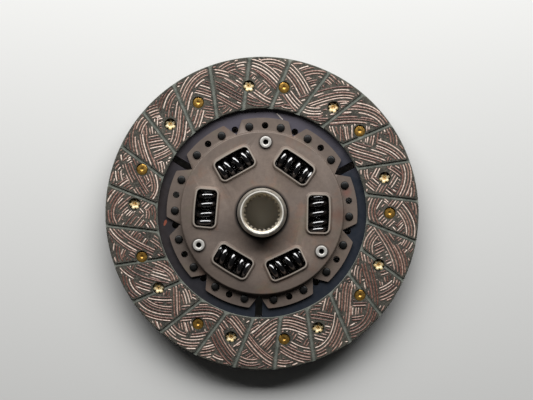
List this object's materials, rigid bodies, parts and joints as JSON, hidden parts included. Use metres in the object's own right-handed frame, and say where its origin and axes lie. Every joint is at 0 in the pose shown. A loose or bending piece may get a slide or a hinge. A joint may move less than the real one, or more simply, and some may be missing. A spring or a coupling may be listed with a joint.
{
  "type": "clutch disc",
  "caption": "Clutch disc: grooved friction rings on waved spring pads, a dished steel plate with coil damper springs in lipped windows, and a splined hub.",
  "frame": {"origin": "on the hub axis, at the middle plane of the cushion plates between the two facings", "axes": "+Z along the input shaft towards the gearbox; X and Y in the plane of the disc, a front facing rivet on +X"},
  "size_m": [0.225, 0.225, 0.0315],
  "materials": {
    "friction_lining": "ground flat, woven yarn in dark resin",
    "rivet_brass": "bright brass",
    "blued_spring_steel": "heat-blued spring steel",
    "phosphated_steel": "brown-grey phosphate coating",
    "black_steel": "black oxide",
    "bright_steel": "bright zinc",
    "machined_steel": "machined",
    "dark_resin": "moulded resin",
    "plain_steel": "plain ground steel",
    "black_spring_steel": "gloss black"
  },
  "bodies": {
    "disc": {"front_facing": "friction_lining", "rear_facing": "friction_lining", "front_facing_rivets": "rivet_brass", "rear_facing_rivets": "rivet_brass", "cushion_plate_1": "blued_spring_steel", "cushion_plate_2": "blued_spring_steel", "cushion_plate_3": "blued_spring_steel", "clutch_plate": "phosphated_steel", "retaining_plate": "phosphated_steel", "cushion_rivets": "black_steel", "stop_pin_1": "bright_steel", "stop_pin_2": "bright_steel", "stop_pin_3": "bright_steel", "friction_bush": "dark_resin", "rear_friction_washer": "dark_resin", "thrust_plate": "plain_steel", "cone_spring": "plain_steel"},
    "hub": {"hub": "machined_steel"},
    "springs": {"damper_spring_1": "black_spring_steel", "damper_spring_2": "black_spring_steel", "damper_spring_3": "black_spring_steel", "damper_spring_4": "black_spring_steel", "damper_spring_5": "black_spring_steel", "damper_spring_6": "black_spring_steel"}
  },
  "joints": [
    {"name": "hub_twist", "type": "hinge", "parent": "disc", "child": "hub", "pos_m": [0, 0, 0], "axis": [0, 0, 1], "range_deg": [-6.5, 6.5], "stiffness_Nm_per_rad": 2600},
    {"name": "spring_carry", "type": "hinge", "parent": "disc", "child": "springs", "pos_m": [0, 0, 0], "axis": [0, 0, 1], "range_deg": [-3.25, 3.25], "deforming": ["damper_spring_1", "damper_spring_2", "damper_spring_3", "damper_spring_4", "damper_spring_5", "damper_spring_6"]}
  ],
  "couplings": [
    {"joint": "spring_carry", "follows": "hub_twist", "ratio": 0.5}
  ]
}
